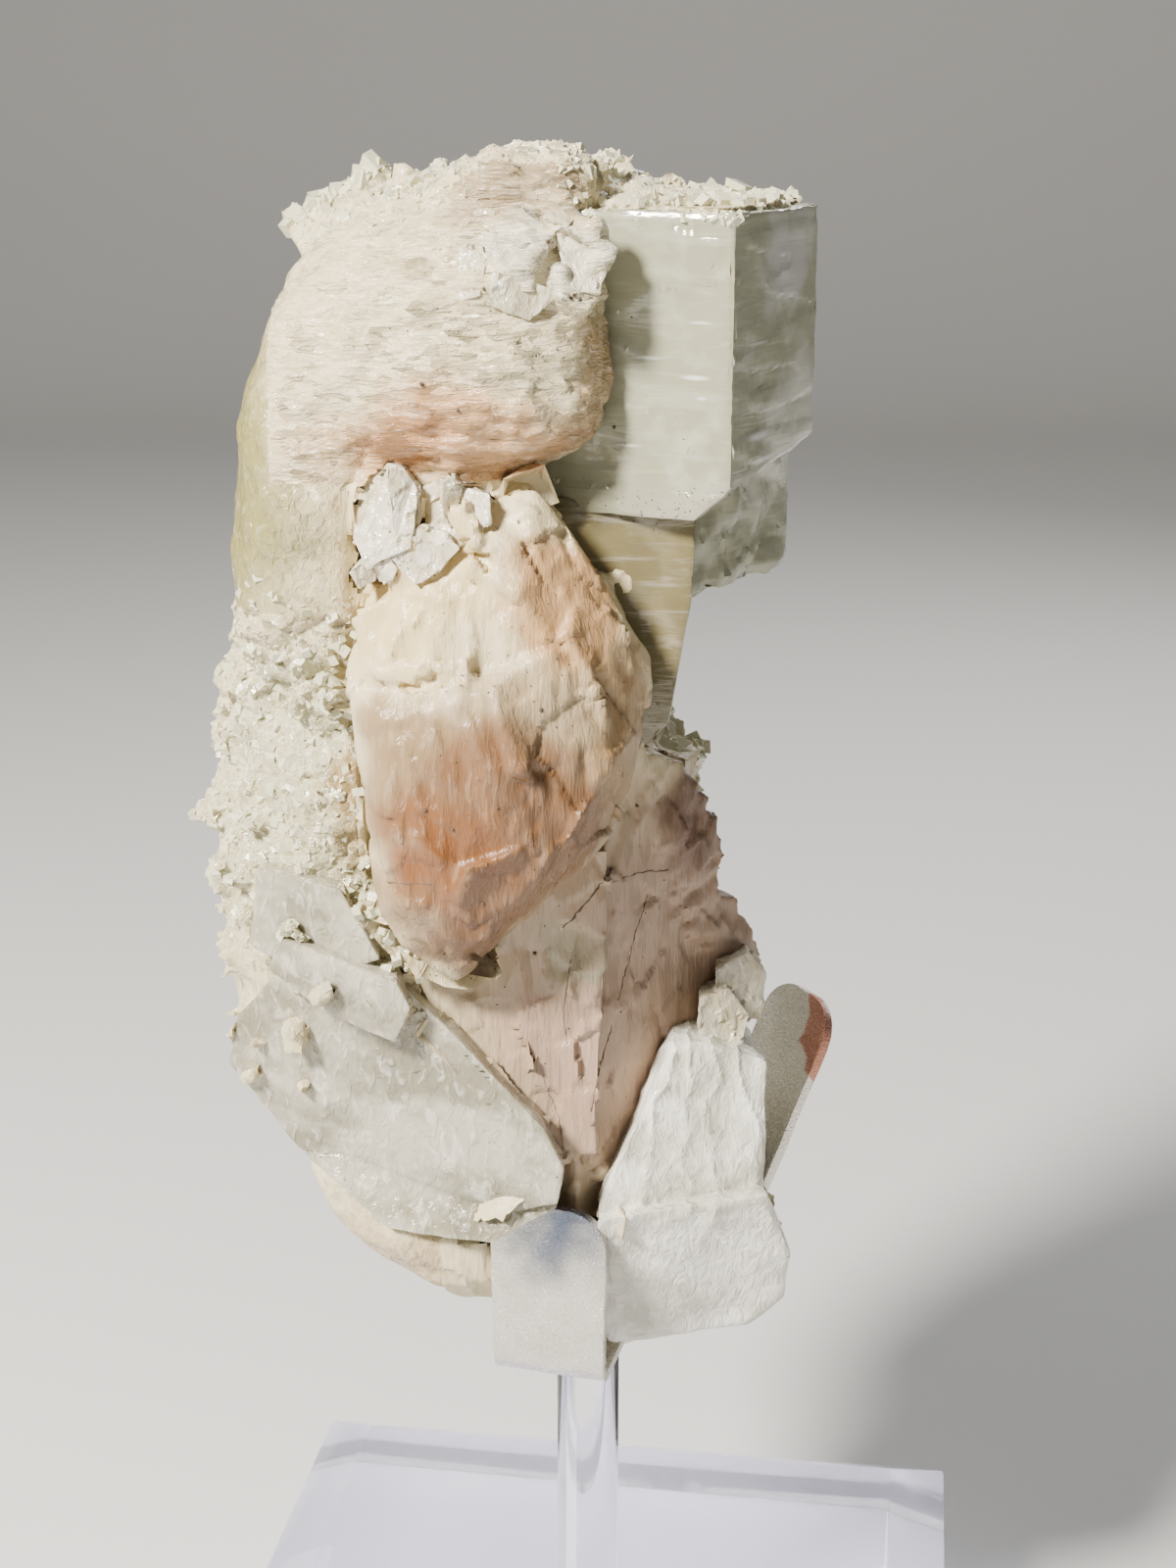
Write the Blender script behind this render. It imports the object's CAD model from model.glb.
import math
import random

import bmesh
import bpy
import numpy as np
from mathutils import Matrix, Vector, noise
from mathutils.bvhtree import BVHTree


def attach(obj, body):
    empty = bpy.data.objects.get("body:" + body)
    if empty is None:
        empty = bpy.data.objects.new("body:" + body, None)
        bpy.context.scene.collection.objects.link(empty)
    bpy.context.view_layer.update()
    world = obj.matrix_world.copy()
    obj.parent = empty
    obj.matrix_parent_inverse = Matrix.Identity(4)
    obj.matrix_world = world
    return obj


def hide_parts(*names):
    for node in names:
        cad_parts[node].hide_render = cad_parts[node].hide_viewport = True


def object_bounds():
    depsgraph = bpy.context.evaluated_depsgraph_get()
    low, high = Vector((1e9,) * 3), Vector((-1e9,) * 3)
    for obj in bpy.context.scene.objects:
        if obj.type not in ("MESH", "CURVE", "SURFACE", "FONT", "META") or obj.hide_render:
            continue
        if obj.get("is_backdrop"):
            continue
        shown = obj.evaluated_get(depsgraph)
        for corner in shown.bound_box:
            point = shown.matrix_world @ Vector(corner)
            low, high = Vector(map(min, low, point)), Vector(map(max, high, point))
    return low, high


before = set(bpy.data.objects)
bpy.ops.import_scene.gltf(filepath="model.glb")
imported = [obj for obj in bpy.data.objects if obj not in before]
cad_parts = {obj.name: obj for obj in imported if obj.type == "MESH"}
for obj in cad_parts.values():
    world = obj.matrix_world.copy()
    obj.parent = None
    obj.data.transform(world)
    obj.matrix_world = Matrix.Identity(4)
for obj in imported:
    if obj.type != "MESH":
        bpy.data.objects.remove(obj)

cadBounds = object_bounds()
mm = 0.001
dice = random.Random(17)
cameraSpot = Vector((0, -203.5, 180))  # mm, where the photograph was taken from
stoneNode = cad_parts["calcite_with_stilbite"]
pieces = {}


# ---- mesh helpers

def toObject(bm, name, fixNormals=True):
    if fixNormals:
        bmesh.ops.recalc_face_normals(bm, faces=bm.faces)
    mesh = bpy.data.meshes.new(name)
    bm.to_mesh(mesh)
    bm.free()
    made = bpy.data.objects.new(name, mesh)
    bpy.context.scene.collection.objects.link(made)
    return made


def applyAll(obj):
    bpy.context.view_layer.update()
    view = bpy.context.evaluated_depsgraph_get()
    mesh = bpy.data.meshes.new_from_object(obj.evaluated_get(view))
    obj.modifiers.clear()
    old = obj.data
    obj.data = mesh
    bpy.data.meshes.remove(old)
    return obj


def voxelSkin(obj, voxel, smoothing):
    skin = obj.modifiers.new("skin", "REMESH")
    skin.mode = "VOXEL"
    skin.voxel_size = voxel * mm
    if smoothing:
        soft = obj.modifiers.new("soft", "SMOOTH")
        soft.factor = 0.5
        soft.iterations = smoothing
    return applyAll(obj)


# moves each vertex along its normal by amountAt(place, normal), both in mm
def displace(obj, amountAt):
    mesh = obj.data
    count = len(mesh.vertices)
    places = np.empty(count * 3, dtype=np.float32)
    normals = np.empty(count * 3, dtype=np.float32)
    mesh.vertices.foreach_get("co", places)
    mesh.vertex_normals.foreach_get("vector", normals)
    places = places.reshape(count, 3)
    normals = normals.reshape(count, 3)
    steps = [amountAt(Vector(p) * 1000, Vector(n)) for p, n in zip(places.tolist(), normals.tolist())]
    places = places + normals * (np.array(steps, dtype=np.float32)[:, None] * mm)
    mesh.vertices.foreach_set("co", places.ravel())
    mesh.update()
    return obj


def joinAll(name, objects):
    bm = bmesh.new()
    for obj in objects:
        bm.from_mesh(obj.data)
        bpy.data.objects.remove(obj, do_unlink=True)
    return toObject(bm, name, fixNormals=False)


def smoothShade(obj, sharp):
    obj.data.shade_smooth()
    obj.data.set_sharp_from_angle(angle=math.radians(sharp))
    return obj


# splits every edge longer than limit, so a flat crystal face can be worked in relief
def denseMesh(bm, limit):
    for step in range(8):
        wide = [face for face in bm.faces if len(face.verts) > 3]
        bmesh.ops.triangulate(bm, faces=wide)
        long = [edge for edge in bm.edges if edge.calc_length() > limit * mm]
        if not long:
            break
        bmesh.ops.subdivide_edges(bm, edges=long, cuts=1)
    wide = [face for face in bm.faces if len(face.verts) > 3]
    bmesh.ops.triangulate(bm, faces=wide)


def sectionAt(levels, z):
    for low, high in zip(levels, levels[1:]):
        if z <= high[0]:
            break
    share = min(max((z - low[0]) / (high[0] - low[0]), 0.0), 1.0)
    left, right, front, back = (a + (b - a) * share for a, b in zip(low[1:], high[1:]))
    return (left + right) / 2, (front + back) / 2, (right - left) / 2, (back - front) / 2


# a rounded mass whose rings follow levels of height, left, right, front, back
def addMass(bm, levels, around, rings, square, rough):
    verts = bmesh.ops.create_uvsphere(bm, u_segments=around, v_segments=rings, radius=1.0)["verts"]
    lowest = levels[0][0]
    highest = levels[-1][0]
    for vert in verts:
        latitude = math.asin(max(-1.0, min(1.0, vert.co.z)))
        height = lowest + (highest - lowest) * (0.5 + latitude / math.pi)
        midX, midY, halfX, halfY = sectionAt(levels, height)
        angle = math.atan2(vert.co.y, vert.co.x)
        pole = 0.0 if math.hypot(vert.co.x, vert.co.y) < 1e-6 else 1.0
        x = math.copysign(abs(math.cos(angle)) ** square, math.cos(angle)) * halfX * pole
        y = math.copysign(abs(math.sin(angle)) ** square, math.sin(angle)) * halfY * pole
        place = Vector((midX + x, midY + y, height))
        push = noise.noise(place * 0.16) * rough + noise.noise(place * 0.43) * rough * 0.6
        outward = Vector((x, y, 0)).normalized() if pole else Vector((0, 0, 0))
        vert.co = (place + outward * push) * mm


def addHull(bm, corners):
    verts = [bm.verts.new(Vector(corner) * mm) for corner in corners]
    skin = bmesh.ops.convex_hull(bm, input=verts)
    inside = {item for item in skin["geom_interior"] if isinstance(item, bmesh.types.BMVert)}
    bmesh.ops.delete(bm, geom=list(inside), context="VERTS")


# a crystal from its front outline (x, z), the slopes of that face, and its thickness
def addSlab(bm, spec):
    outline = spec["outline"]
    slopeX, slopeZ = spec["slope"]
    midX = sum(point[0] for point in outline) / len(outline)
    midZ = sum(point[1] for point in outline) / len(outline)
    corners = []
    for x, z in outline:
        corners.append((x, spec["depth"] + slopeX * (x - midX) + slopeZ * (z - midZ), z))
    for x, z in outline:
        shrink = spec["shrink"]
        corners.append((midX + (x - midX) * shrink, spec["depth"] + spec["thick"], midZ + (z - midZ) * shrink))
    addHull(bm, corners)


def addBlock(bm, plan, bottom, top):
    corners = [(x, y, z) for x, y in plan for z in (bottom, top)]
    addHull(bm, corners)


# relief fields, all in mm
def ramp(value, low, high):
    return min(max((value - low) / (high - low), 0.0), 1.0)


def fibres(place, across, along, direction):
    run = place.dot(direction)
    side = place - direction * run
    return noise.noise(side * (1 / across) + direction * (run / along))


def facetRelief(place, cell):
    spot = place / cell
    _, points = noise.voronoi(spot)
    near = points[0]
    tilt = noise.cell_vector(near * 7.3) - Vector((0.5, 0.5, 0.5))
    return (spot - near).dot(tilt) * cell


# ---- shader helpers

def newMaterial(name):
    made = bpy.data.materials.new(name)
    made.use_nodes = True
    return made, made.node_tree, made.node_tree.nodes["Principled BSDF"]


def fill(tree, socket, value):
    if isinstance(value, bpy.types.NodeSocket):
        tree.links.new(value, socket)
    else:
        socket.default_value = value


def addNode(tree, kind, inputs=None, **settings):
    made = tree.nodes.new(kind)
    for name, value in settings.items():
        setattr(made, name, value)
    for name, value in (inputs or {}).items():
        fill(tree, made.inputs[name], value)
    return made


def mathNode(tree, operation, a, b=0.0, c=0.0):
    made = addNode(tree, "ShaderNodeMath", {0: a, 1: b, 2: c}, operation=operation)
    return made.outputs[0]


def vectorMath(tree, operation, a, b=(0, 0, 0)):
    made = addNode(tree, "ShaderNodeVectorMath", {0: a, 1: b}, operation=operation)
    return made.outputs[0]


def mixColours(tree, factor, a, b):
    made = addNode(tree, "ShaderNodeMix", data_type="RGBA")
    fill(tree, made.inputs[0], factor)
    fill(tree, made.inputs[6], a)
    fill(tree, made.inputs[7], b)
    return made.outputs[2]


def mapRange(tree, value, low, high, toLow=0.0, toHigh=1.0, smooth=True):
    kind = "SMOOTHSTEP" if smooth else "LINEAR"
    made = addNode(tree, "ShaderNodeMapRange", {0: value, 1: low, 2: high, 3: toLow, 4: toHigh},
                   interpolation_type=kind)
    return made.outputs[0]


def newGroup(name, inputs, outputs):
    tree = bpy.data.node_groups.new(name, "ShaderNodeTree")
    for label, kind, value in inputs:
        socket = tree.interface.new_socket(label, in_out="INPUT", socket_type="NodeSocket" + kind)
        socket.default_value = value
    for label, kind in outputs:
        tree.interface.new_socket(label, in_out="OUTPUT", socket_type="NodeSocket" + kind)
    entry = tree.nodes.new("NodeGroupInput")
    leave = tree.nodes.new("NodeGroupOutput")
    return tree, entry.outputs, leave.inputs


def useGroup(tree, group, inputs, output):
    made = tree.nodes.new("ShaderNodeGroup")
    made.node_tree = group
    for name, value in inputs.items():
        fill(tree, made.inputs[name], value)
    return made.outputs[output]


# place in mm, gently warped so that stains don't end in straight lines
def makePlaceGroup():
    tree, _, leave = newGroup("stonePlace", [], [("Place", "Vector"), ("Warped", "Vector")])
    source = addNode(tree, "ShaderNodeTexCoord")
    place = addNode(tree, "ShaderNodeVectorMath", {0: source.outputs["Object"], "Scale": 1000.0}, operation="SCALE")
    cloud = addNode(tree, "ShaderNodeTexNoise", {"Vector": place.outputs[0], "Scale": 0.16, "Detail": 2.0})
    shift = vectorMath(tree, "SUBTRACT", cloud.outputs["Color"], (0.5, 0.5, 0.5))
    wide = addNode(tree, "ShaderNodeVectorMath", {0: shift, "Scale": 9.0}, operation="SCALE")
    fill(tree, leave["Place"], place.outputs[0])
    fill(tree, leave["Warped"], vectorMath(tree, "ADD", place.outputs[0], wide.outputs[0]))
    return tree


def makeSpotGroup():
    sockets = [("Place", "Vector", (0, 0, 0)), ("Centre", "Vector", (0, 0, 0)), ("Radius", "Vector", (1, 1, 1)),
               ("Edge", "Float", 0.6), ("Strength", "Float", 1.0)]
    tree, entry, leave = newGroup("stainSpot", sockets, [("Mask", "Float")])
    away = vectorMath(tree, "SUBTRACT", entry["Place"], entry["Centre"])
    scaled = vectorMath(tree, "DIVIDE", away, entry["Radius"])
    reach = addNode(tree, "ShaderNodeVectorMath", {0: scaled}, operation="LENGTH")
    inner = mathNode(tree, "SUBTRACT", 1.0, entry["Edge"])
    mask = mapRange(tree, reach.outputs["Value"], 1.0, inner)
    fill(tree, leave["Mask"], mathNode(tree, "MULTIPLY", mask, entry["Strength"]))
    return tree


# each grain takes its own tilt, as a broken or drusy surface does
def makeFacetGroup():
    sockets = [("Place", "Vector", (0, 0, 0)), ("Grain", "Float", 1.0), ("Tilt", "Float", 0.5),
               ("Stretch", "Vector", (1, 1, 1))]
    tree, entry, leave = newGroup("grainFacets", sockets, [("Normal", "Vector"), ("Shade", "Float")])
    size = addNode(tree, "ShaderNodeMath", {0: 1.0, 1: entry["Grain"]}, operation="DIVIDE")
    pulled = vectorMath(tree, "MULTIPLY", entry["Place"], entry["Stretch"])
    cells = addNode(tree, "ShaderNodeTexVoronoi", {"Vector": pulled, "Scale": size.outputs[0]})
    tilt = vectorMath(tree, "SUBTRACT", cells.outputs["Color"], (0.5, 0.5, 0.5))
    strong = addNode(tree, "ShaderNodeVectorMath", {0: tilt, "Scale": entry["Tilt"]}, operation="SCALE")
    surface = addNode(tree, "ShaderNodeNewGeometry")
    turned = vectorMath(tree, "ADD", surface.outputs["Normal"], strong.outputs[0])
    fill(tree, leave["Normal"], vectorMath(tree, "NORMALIZE", turned))
    shade = addNode(tree, "ShaderNodeSeparateColor", {0: cells.outputs["Color"]})
    fill(tree, leave["Shade"], shade.outputs[0])
    return tree


def makeFibreGroup():
    sockets = [("Place", "Vector", (0, 0, 0)), ("Turn", "Vector", (0, 0, 0)), ("Density", "Vector", (1, 1, 1)),
               ("Wander", "Float", 0.4)]
    tree, entry, leave = newGroup("fibreLines", sockets, [("Height", "Float"), ("Lines", "Float")])
    spot = addNode(tree, "ShaderNodeMapping",
                   {"Vector": entry["Place"], "Rotation": entry["Turn"], "Scale": entry["Density"]})
    lines = addNode(tree, "ShaderNodeTexNoise",
                    {"Vector": spot.outputs[0], "Scale": 1.0, "Detail": 3.0, "Roughness": 0.62,
                     "Distortion": entry["Wander"]})
    fill(tree, leave["Height"], lines.outputs[0])
    fill(tree, leave["Lines"], mapRange(tree, lines.outputs[0], 0.52, 0.68))
    return tree


def makeVeilGroup():
    sockets = [("Place", "Vector", (0, 0, 0)), ("Density", "Vector", (0.2, 0.2, 0.2)), ("Cover", "Float", 0.5)]
    tree, entry, leave = newGroup("cloudyVeil", sockets, [("Mask", "Float")])
    spot = vectorMath(tree, "MULTIPLY", entry["Place"], entry["Density"])
    cloud = addNode(tree, "ShaderNodeTexNoise", {"Vector": spot, "Scale": 1.0, "Detail": 3.0, "Roughness": 0.6})
    low = mathNode(tree, "SUBTRACT", 1.0, entry["Cover"])
    high = mathNode(tree, "ADD", low, 0.22)
    fill(tree, leave["Mask"], mapRange(tree, cloud.outputs[0], low, high))
    return tree


placeGroup = makePlaceGroup()
spotGroup = makeSpotGroup()
facetGroup = makeFacetGroup()
fibreGroup = makeFibreGroup()
veilGroup = makeVeilGroup()
print("shader groups made")


# one mineral: its own colour, stains by place, grain, fibre, specks, and how light enters it
def mineral(name, look):
    made, tree, shader = newMaterial(name)
    here = tree.nodes.new("ShaderNodeGroup")
    here.node_tree = placeGroup
    place = here.outputs["Place"]
    warped = here.outputs["Warped"]
    colour = look["colour"] + (1,)
    if "veil" in look:
        veil = useGroup(tree, veilGroup, {"Place": place, "Density": look.get("veilDensity", (0.2, 0.2, 0.2)),
                                          "Cover": look.get("veilCover", 0.5)}, "Mask")
        colour = mixColours(tree, mathNode(tree, "MULTIPLY", veil, look["veil"]), colour, look["veilColour"] + (1,))
    for stain in look.get("stains", []):
        mask = useGroup(tree, spotGroup, {"Place": warped, "Centre": stain["at"], "Radius": stain["reach"],
                                          "Edge": stain.get("edge", 0.55), "Strength": stain["strength"]}, "Mask")
        colour = mixColours(tree, mask, colour, stain["colour"] + (1,))
    for at, reach, strength in look.get("glints", []):
        mask = useGroup(tree, spotGroup, {"Place": place, "Centre": at, "Radius": reach, "Edge": 0.8,
                                          "Strength": strength}, "Mask")
        colour = mixColours(tree, mask, colour, (0.97, 0.97, 0.96, 1))
    facets = look.get("facets", {"grain": 1.0, "tilt": 0.2, "stretch": (1, 1, 1)})
    normal = useGroup(tree, facetGroup, {"Place": place, "Grain": facets["grain"], "Tilt": facets["tilt"],
                                         "Stretch": facets["stretch"]}, "Normal")
    fibre = look.get("fibre", {"turn": (0, 0, 0), "density": (2, 2, 2), "wander": 0.4, "depth": 0.1, "tint": 0.0})
    lines = tree.nodes.new("ShaderNodeGroup")
    lines.node_tree = fibreGroup
    for socket, value in (("Place", place), ("Turn", fibre["turn"]), ("Density", fibre["density"]),
                          ("Wander", fibre["wander"])):
        fill(tree, lines.inputs[socket], value)
    bump = addNode(tree, "ShaderNodeBump", {"Strength": 1.0, "Distance": fibre["depth"] * mm,
                                            "Height": lines.outputs["Height"], "Normal": normal})
    tint = mathNode(tree, "MULTIPLY", lines.outputs["Lines"], fibre["tint"])
    colour = mixColours(tree, tint, colour, look.get("lineColour", (0.95, 0.93, 0.88)) + (1,))
    fill(tree, shader.inputs["Base Color"], colour)
    rough = mapRange(tree, lines.outputs["Height"], 0.3, 0.7, look["rough"][0], look["rough"][1], smooth=False)
    fill(tree, shader.inputs["Roughness"], rough)
    fill(tree, shader.inputs["Normal"], bump.outputs[0])
    shader.inputs["IOR"].default_value = look.get("ior", 1.5)
    shader.inputs["Subsurface Weight"].default_value = look.get("subsurface", 0.0)
    shader.inputs["Subsurface Radius"].default_value = look.get("radius", (1, 0.8, 0.6))
    shader.inputs["Subsurface Scale"].default_value = look.get("depth", 3.0) * mm
    shader.inputs["Transmission Weight"].default_value = look.get("transmission", 0.0)
    shader.inputs["Coat Weight"].default_value = look.get("coat", 0.0)
    shader.inputs["Coat Roughness"].default_value = 0.08
    return made


# ---- setting things on the surface as the camera sees it

def treeOf(*objects):
    bm = bmesh.new()
    for obj in objects:
        bm.from_mesh(obj.data)
    tree = BVHTree.FromBMesh(bm)
    bm.free()
    return tree


def onSurface(tree, x, z, guessY=-14):
    aim = (Vector((x, guessY, z)) - cameraSpot).normalized()
    hit, normal, _, _ = tree.ray_cast(cameraSpot * mm, aim)
    if hit is None:
        return None, None
    return hit / mm, normal


# a crystal face laid on the surface: its outline as seen, how proud it stands, how deep it goes
def addSetIn(bm, tree, outline, proud, thick, tilt=(0, 0)):
    found = [onSurface(tree, x, z) for x, z in outline]
    found = [pair for pair in found if pair[0] is not None]
    centre = sum((hit for hit, _ in found), Vector()) / len(found)
    normal = sum((facing for _, facing in found), Vector()).normalized()
    normal = (normal + Vector((tilt[0], 0, tilt[1]))).normalized()
    corners = []
    for x, z in outline:
        aim = (Vector((x, -14, z)) - cameraSpot).normalized()
        reach = (centre + normal * proud - cameraSpot).dot(normal) / aim.dot(normal)
        corner = cameraSpot + aim * reach
        corners.append(corner)
        corners.append(corner.lerp(centre, 0.2) - normal * thick)
    addHull(bm, corners)


# small flakes over a patch, each along its own direction and a little proud
def addFlakes(bm, tree, patch):
    for index in range(patch["count"]):
        spread = math.sqrt(dice.random())
        around = dice.uniform(0, math.tau)
        x = patch["at"][0] + math.cos(around) * spread * patch["reach"][0]
        z = patch["at"][1] + math.sin(around) * spread * patch["reach"][1]
        hit, normal = onSurface(tree, x, z)
        if hit is None or abs(hit.y + 12) > patch.get("deep", 9):
            continue
        lean = math.radians(patch["lean"] + dice.gauss(0, patch["spread"]))
        along = Vector((math.cos(lean), 0, math.sin(lean)))
        along = (along - normal * along.dot(normal)).normalized()
        normal = (normal + Vector((dice.gauss(0, 1), dice.gauss(0, 1), dice.gauss(0, 1))) * patch["tilt"]).normalized()
        side = normal.cross(along).normalized()
        length = dice.uniform(*patch["length"]) / 2
        width = dice.uniform(*patch["width"]) / 2
        proud = dice.uniform(*patch["proud"])
        corners = []
        for u, v in ((-1, -0.5), (-0.8, 0.6), (0.3, 1), (1, 0.4), (0.85, -0.8), (-0.4, -1)):
            corner = hit + along * u * length + side * v * width
            corners.append(corner + normal * proud)
            corners.append(corner - normal * 2.5)
        addHull(bm, corners)


# ---- upper calcite block, the lumps under it and the lower calcite

block = {
    "plan": ((-5, -6.2), (12.2, -13.2), (20.7, 3.6), (13.5, 17.5), (-8, 16)),
    "span": (143.6, 169.4),
    "cut": ((10.4, -12.4, 144.8), (0.62, -0.2, -0.76)),
    "underPlan": ((8.4, -9), (12.6, -5), (18.8, 4.6), (12, 15), (2, 10)),
    "underSpan": (136.2, 149.6),
    "lower": {"outline": ((-5, 145), (9.6, 144), (9.2, 136.5), (8, 130), (7.2, 124.6), (5.4, 122.6), (-4, 123)),
              "depth": -8.8, "slope": (-0.12, 0.02), "thick": 18, "shrink": 0.86},
}


def blockRelief(place, normal):
    growth = noise.noise(Vector((place.x * 0.12, place.y * 0.12, place.z * 0.9))) * 0.10
    steps = noise.noise(Vector((place.x * 0.05, place.y * 0.05, place.z * 0.34)) + Vector((5, 0, 0)))
    ledge = 0.16 if steps > 0.18 else 0.0
    return growth + noise.noise(place * 0.22) * 0.22 - ledge + facetRelief(place, 3.2) * 0.05


def solidCrystal(name, build, bevel, limit, relief, sharp=28):
    bm = bmesh.new()
    build(bm)
    bmesh.ops.dissolve_limit(bm, angle_limit=math.radians(2), verts=bm.verts, edges=bm.edges)
    bmesh.ops.bevel(bm, geom=list(bm.edges), offset=bevel * mm, segments=2, profile=0.6, affect="EDGES",
                    clamp_overlap=True)
    denseMesh(bm, limit)
    made = toObject(bm, name)
    displace(made, relief)
    return smoothShade(made, sharp)


def buildBlock(bm):
    addBlock(bm, block["plan"], *block["span"])
    point, outward = block["cut"]
    whole = list(bm.verts) + list(bm.edges) + list(bm.faces)
    bmesh.ops.bisect_plane(bm, geom=whole, plane_co=Vector(point) * mm, plane_no=outward, clear_outer=True)
    bmesh.ops.holes_fill(bm, edges=[edge for edge in bm.edges if edge.is_boundary], sides=0)


def buildUnder(bm):
    addBlock(bm, block["underPlan"], *block["underSpan"])


pieces["block"] = solidCrystal("block", buildBlock, 0.5, 0.8, blockRelief)
pieces["underBlock"] = solidCrystal("underBlock", buildUnder, 1.2, 0.8,
                                    lambda p, n: noise.noise(p * 0.3) * 0.7 + facetRelief(p, 2.2) * 0.3, 40)
pieces["lowerCalcite"] = solidCrystal("lowerCalcite", lambda bm: addSlab(bm, block["lower"]), 0.4, 0.8,
                                      lambda p, n: noise.noise(p * 0.25) * 0.35 + facetRelief(p, 2.6) * 0.08)
print("block")


# ---- milky calcite crystals round the foot, and the plates under the loaf

milky = {
    "lowerLeft": {"outline": ((-27, 103), (-16.4, 101.2), (-11.4, 96.5), (-4, 88.6), (-2.3, 84.8), (-2.8, 80.8),
                              (-8.4, 78.2), (-18.8, 80.6), (-27.6, 82), (-34.2, 90.8), (-33, 96)),
                  "depth": -12.8, "slope": (-0.34, -0.12), "thick": 14, "shrink": 0.84},
    "lowerLeftFacet": {"outline": ((-27.4, 82.2), (-3, 85), (-2.9, 79.6), (-9, 76), (-19, 76.4)),
                       "depth": -13.2, "slope": (-0.2, 0.42), "thick": 12, "shrink": 0.8},
    "pointed": {"outline": ((-27.5, 106.2), (-17, 103), (-15.8, 100.6), (-17.4, 96.6), (-24, 99), (-29, 103)),
                "depth": -15.6, "slope": (-0.3, -0.12), "thick": 12, "shrink": 0.7},
    "pointedUpper": {"outline": ((-30, 112), (-22, 111), (-18.6, 104.5), (-25, 101.6), (-31, 104)),
                     "depth": -13.0, "slope": (-0.4, -0.12), "thick": 12, "shrink": 0.75},
}
ribbed = {
    "upper": {"outline": ((8, 94), (11.4, 93.6), (16.8, 91.2), (17, 78), (13, 72.5), (0.9, 74), (0.9, 79)),
              "depth": -11.0, "slope": (0.26, 0.12), "thick": 17, "shrink": 0.82},
    "foot": {"outline": ((1, 78.6), (17, 79.6), (19.5, 71.6), (19.3, 66.2), (15.8, 63.1), (9.6, 62.4),
                         (2, 62.4), (0, 68)),
             "depth": -10.8, "slope": (0.2, -0.3), "thick": 17, "shrink": 0.8},
}
plates = {
    "tall": {"outline": ((-19.9, 142.4), (-19.5, 146.4), (-17, 149), (-15.4, 148.6), (-14.2, 146.9), (-14.9, 142.2),
                         (-18.6, 140.4)),
             "depth": -14.9, "slope": (-0.3, 0.3), "thick": 5, "shrink": 0.8},
    "tallRight": {"outline": ((-16.9, 148.9), (-15.4, 148.6), (-14.1, 146.9), (-14, 144.6), (-15.4, 141.4), (-16.6, 144)),
                  "depth": -15.3, "slope": (0.35, 0.1), "thick": 4, "shrink": 0.7},
    "right": {"outline": ((-14.1, 146.8), (-12.2, 147.6), (-8.2, 146.6), (-8.3, 144.3), (-10.8, 142), (-13.6, 142.4)),
              "depth": -14.8, "slope": (-0.4, 0.25), "thick": 5, "shrink": 0.8},
    "wedge": {"outline": ((-12.3, 147.7), (-11.2, 148.2), (-10.5, 146.8), (-11.1, 144.6), (-12.2, 144.2)),
              "depth": -15.3, "slope": (0.5, 0.1), "thick": 4, "shrink": 0.7},
    "second": {"outline": ((-16.8, 141.2), (-15.6, 143.3), (-13.9, 144), (-12, 143.5), (-10.8, 142.2),
                           (-12.4, 140.2), (-14.6, 139)),
               "depth": -16.2, "slope": (-0.15, 0.2), "thick": 4, "shrink": 0.75},
    "smallA": {"outline": ((-20.4, 139.8), (-19.2, 141), (-17.7, 140.5), (-18, 138.8), (-19.6, 138.3)),
               "depth": -14.8, "slope": (0.2, -0.2), "thick": 4, "shrink": 0.75},
    "smallB": {"outline": ((-18.1, 140.5), (-16.8, 141.4), (-16.1, 140.3), (-16.8, 138.9), (-17.9, 138.9)),
               "depth": -15.6, "slope": (-0.2, -0.2), "thick": 4, "shrink": 0.75},
    "glassUpper": {"outline": ((12.2, 98.4), (15.4, 99.6), (17.4, 97), (16.8, 92.6), (12.6, 93.4)),
                   "depth": -1.8, "slope": (0.5, 0.1), "thick": 6, "shrink": 0.75},
    "glassLower": {"outline": ((10.6, 96.6), (13.4, 97.2), (15.4, 94.4), (14.4, 90), (10.4, 91.4)),
                   "depth": -5.4, "slope": (0.3, 0.2), "thick": 7, "shrink": 0.75},
}
loafCrystals = (  # outline as seen (x, z), proud, thick, tilt
    (((-9.9, 169.2), (-8.9, 170), (-7.7, 169.5), (-7.9, 168.1), (-8.8, 167.6), (-9.8, 168.1)), 0.35, 2, (0.2, -0.2)),
    (((-10.7, 166.1), (-10, 167.2), (-8.7, 167), (-8.4, 165.7), (-8.9, 162.8), (-10.4, 162.5), (-11.1, 163.9)),
     0.2, 2, (-0.2, 0.1)),
    (((-2.6, 168.1), (-0.8, 169), (1.3, 168.4), (1.9, 166), (1, 163.1), (-0.8, 163.1), (-1.9, 164.5),
      (-2.2, 166.5)), 0.3, 2.5, (-0.15, 0.1)),
    (((1.9, 168), (3.2, 168.3), (4, 166), (3.9, 163), (2.8, 160.8), (1.8, 161.6), (1.8, 164.6)), 0.25, 3, (0.1, 0)),
    (((-7.6, 168.6), (-3.2, 169.6), (-2.6, 167.4), (-5, 164.2), (-7.8, 165.6)), 0.1, 2, (0, 0.1)),
    (((-7.8, 165), (-4.8, 164), (-2.2, 163), (-4.8, 160.8), (-8.2, 162)), 0.12, 2, (0.1, -0.1)),
    (((-3.6, 169.2), (-2.6, 169.8), (-0.6, 169.4), (-1.4, 168.6)), 0.2, 2, (0, 0.2)),
)


def milkyRelief(place, normal):
    return noise.noise(place * 0.16) * 0.3 + noise.noise(place * 0.6) * 0.05 + facetRelief(place, 3.4) * 0.05


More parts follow.
